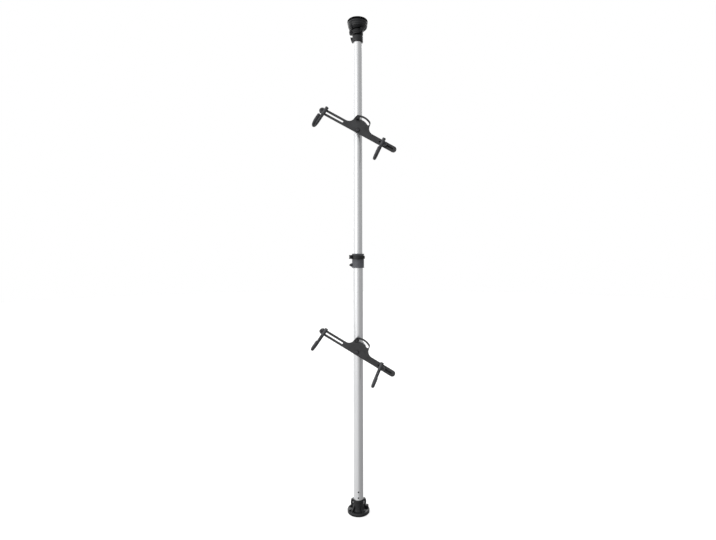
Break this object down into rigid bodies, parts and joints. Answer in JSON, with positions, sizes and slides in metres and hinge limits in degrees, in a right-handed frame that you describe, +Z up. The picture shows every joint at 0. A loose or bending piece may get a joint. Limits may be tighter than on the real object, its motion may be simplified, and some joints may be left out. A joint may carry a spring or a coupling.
{
  "type": "two tier bike rack",
  "caption": "Floor to ceiling tension pole that hangs bicycles one above the other on tilting plates with sliding rubber covered hooks.",
  "frame": {"origin": "centre of the pole's foot on the floor", "axes": "+Z up along the pole, +X to the right of someone facing the carriers, and the carriers face -Y"},
  "size_m": [0.4105, 0.1858, 2.4],
  "materials": {
    "rubber_pads": "matt black moulded rubber",
    "foot_plastic": "glass filled nylon, fine moulded grain",
    "dark_screws": "black zinc plate",
    "silver_tube": "silver, drawn and anodised",
    "nylon": "natural nylon",
    "liner_nylon": "black nylon",
    "collar_plastic": "glass filled nylon, fine moulded grain",
    "steel_pins": "bright zinc plate",
    "clamp_aluminium": "silver cast aluminium, blasted",
    "plate_paint": "dark grey textured powder coat",
    "washers": "black nylon",
    "knob_plastic": "black moulded plastic",
    "holder_metal": "dark grey powder coat",
    "hook_steel": "dark grey powder coat",
    "hook_rubber": "matt black vinyl"
  },
  "bodies": {
    "pole_foot": {"floor_pad": "rubber_pads", "base_foot": "foot_plastic", "foot_screws": "dark_screws", "lower_tube": "silver_tube", "spigot_screws": "dark_screws", "collar": "collar_plastic", "lever_pin": "steel_pins", "lever_bolt": "steel_pins", "collar_screw": "dark_screws"},
    "foot_ring": {"base_ring": "foot_plastic"},
    "upper_pole": {"upper_tube": "silver_tube", "guide_bush": "nylon", "top_sleeve": "foot_plastic", "sleeve_screw": "dark_screws"},
    "flip_lever": {"collar_lever": "knob_plastic"},
    "ceiling_head": {"thrust_washer": "nylon", "ceiling_cup": "foot_plastic", "ceiling_pad": "rubber_pads"},
    "jack_screw": {"spindle": "steel_pins", "grip_ring": "foot_plastic"},
    "lower_slider": {"lower_pole_liner": "liner_nylon"},
    "lower_clamp": {"lower_pole_clamp": "clamp_aluminium", "lower_clamp_bolt": "steel_pins", "lower_clamp_pin": "steel_pins", "lower_plate_washers": "washers", "lower_pivot_bolt": "dark_screws", "lower_lock_bolt": "dark_screws"},
    "lower_clamp_lever": {"lower_clamp_lever": "clamp_aluminium"},
    "lower_knob": {"lower_lock_knob": "knob_plastic"},
    "lower_plate": {"lower_tilt_plate": "plate_paint", "lower_slot_rail": "plate_paint"},
    "lower_left_carriage": {"lower_left_hook_bolt": "dark_screws"},
    "lower_left_hook": {"lower_left_hook_holder": "holder_metal", "lower_left_hook_rod": "hook_steel", "lower_left_hook_sleeve": "hook_rubber"},
    "lower_right_carriage": {"lower_right_hook_bolt": "dark_screws"},
    "lower_right_hook": {"lower_right_hook_holder": "holder_metal", "lower_right_hook_rod": "hook_steel", "lower_right_hook_sleeve": "hook_rubber"},
    "upper_slider": {"upper_pole_liner": "liner_nylon"},
    "upper_clamp": {"upper_pole_clamp": "clamp_aluminium", "upper_clamp_bolt": "steel_pins", "upper_clamp_pin": "steel_pins", "upper_plate_washers": "washers", "upper_pivot_bolt": "dark_screws", "upper_lock_bolt": "dark_screws"},
    "upper_clamp_lever": {"upper_clamp_lever": "clamp_aluminium"},
    "upper_knob": {"upper_lock_knob": "knob_plastic"},
    "upper_plate": {"upper_tilt_plate": "plate_paint", "upper_slot_rail": "plate_paint"},
    "upper_left_carriage": {"upper_left_hook_bolt": "dark_screws"},
    "upper_left_hook": {"upper_left_hook_holder": "holder_metal", "upper_left_hook_rod": "hook_steel", "upper_left_hook_sleeve": "hook_rubber"},
    "upper_right_carriage": {"upper_right_hook_bolt": "dark_screws"},
    "upper_right_hook": {"upper_right_hook_holder": "holder_metal", "upper_right_hook_rod": "hook_steel", "upper_right_hook_sleeve": "hook_rubber"}
  },
  "joints": [
    {"name": "foot_ring_turn", "type": "hinge", "parent": "pole_foot", "child": "foot_ring", "pos_m": [0, 0, 0.0585], "axis": [0, 0, 1], "range_deg": [-90, 0]},
    {"name": "pole_extend", "type": "slide", "parent": "pole_foot", "child": "upper_pole", "axis": [0, 0, 1], "range_m": [-0.25, 0.35]},
    {"name": "flip_lever_open", "type": "hinge", "parent": "pole_foot", "child": "flip_lever", "pos_m": [-0.035, -0.02, 1.245], "axis": [0, 0, -1], "range_deg": [0, 110]},
    {"name": "head_lift", "type": "slide", "parent": "upper_pole", "child": "ceiling_head", "axis": [0, 0, 1], "range_m": [-0.00398, 0.01998]},
    {"name": "jack_turn", "type": "hinge", "parent": "ceiling_head", "child": "jack_screw", "pos_m": [0, 0, 2.342], "axis": [0, 0, 1], "range_deg": [-360, 1800]},
    {"name": "lower_height", "type": "slide", "parent": "pole_foot", "child": "lower_slider", "axis": [0, 0, 1], "range_m": [-0.45, 0.3]},
    {"name": "lower_swing", "type": "hinge", "parent": "lower_slider", "child": "lower_clamp", "pos_m": [0, 0, 0.8135], "axis": [0, 0, 1], "continuous": true},
    {"name": "lower_clamp_open", "type": "hinge", "parent": "lower_clamp", "child": "lower_clamp_lever", "pos_m": [0.0233, 0.03462, 0.8135], "axis": [0, 0, 1], "range_deg": [0, 90]},
    {"name": "lower_knob_turn", "type": "hinge", "parent": "lower_clamp", "child": "lower_knob", "pos_m": [-0.00624, -0.05565, 0.8455], "axis": [-0.1115, -0.9938, 0], "range_deg": [0, 360]},
    {"name": "lower_tilt", "type": "hinge", "parent": "lower_clamp", "child": "lower_plate", "pos_m": [-0.00524, -0.04671, 0.7885], "axis": [-0.1115, -0.9938, 0], "range_deg": [-1.75, 62.25]},
    {"name": "lower_left_hook_slide", "type": "slide", "parent": "lower_plate", "child": "lower_left_carriage", "axis": [0.8585, -0.0963, -0.5038], "range_m": [-0.0023, 0.111]},
    {"name": "lower_left_hook_swing", "type": "hinge", "parent": "lower_left_carriage", "child": "lower_left_hook", "pos_m": [-0.17491, -0.03271, 0.88774], "axis": [-0.1115, -0.9938, 0], "range_deg": [-20, 20]},
    {"name": "lower_right_hook_slide", "type": "slide", "parent": "lower_plate", "child": "lower_right_carriage", "axis": [0.8585, -0.0963, -0.5038], "range_m": [-0.0255, 0.0425]},
    {"name": "lower_right_hook_swing", "type": "hinge", "parent": "lower_right_carriage", "child": "lower_right_hook", "pos_m": [0.11782, -0.06554, 0.71596], "axis": [-0.1115, -0.9938, 0], "range_deg": [-20, 20]},
    {"name": "upper_height", "type": "slide", "parent": "upper_pole", "child": "upper_slider", "axis": [0, 0, 1], "range_m": [-0.3, 0.3]},
    {"name": "upper_swing", "type": "hinge", "parent": "upper_slider", "child": "upper_clamp", "pos_m": [0, 0, 1.8788], "axis": [0, 0, 1], "continuous": true},
    {"name": "upper_clamp_open", "type": "hinge", "parent": "upper_clamp", "child": "upper_clamp_lever", "pos_m": [0.01898, 0.03717, 1.8788], "axis": [0, 0, 1], "range_deg": [0, 90]},
    {"name": "upper_knob_turn", "type": "hinge", "parent": "upper_clamp", "child": "upper_knob", "pos_m": [0.00049, -0.056, 1.9108], "axis": [0.0087, -1, 0], "range_deg": [0, 360]},
    {"name": "upper_tilt", "type": "hinge", "parent": "upper_clamp", "child": "upper_plate", "pos_m": [0.00041, -0.047, 1.8538], "axis": [0.0087, -1, 0], "range_deg": [-3.4, 60.6]},
    {"name": "upper_left_hook_slide", "type": "slide", "parent": "upper_plate", "child": "upper_left_carriage", "axis": [0.8779, 0.0077, -0.4787], "range_m": [-0.0053, 0.108]},
    {"name": "upper_left_hook_swing", "type": "hinge", "parent": "upper_left_carriage", "child": "upper_left_hook", "pos_m": [-0.16987, -0.05348, 1.94667], "axis": [0.0087, -1, 0], "range_deg": [-20, 20]},
    {"name": "upper_right_hook_slide", "type": "slide", "parent": "upper_plate", "child": "upper_right_carriage", "axis": [0.8779, 0.0077, -0.4787], "range_m": [-0.0273, 0.0407]},
    {"name": "upper_right_hook_swing", "type": "hinge", "parent": "upper_right_carriage", "child": "upper_right_hook", "pos_m": [0.12846, -0.05088, 1.78401], "axis": [0.0087, -1, 0], "range_deg": [-20, 20]}
  ],
  "couplings": [
    {"joint": "jack_turn", "follows": "head_lift", "rad_per_m": 1570.8}
  ]
}
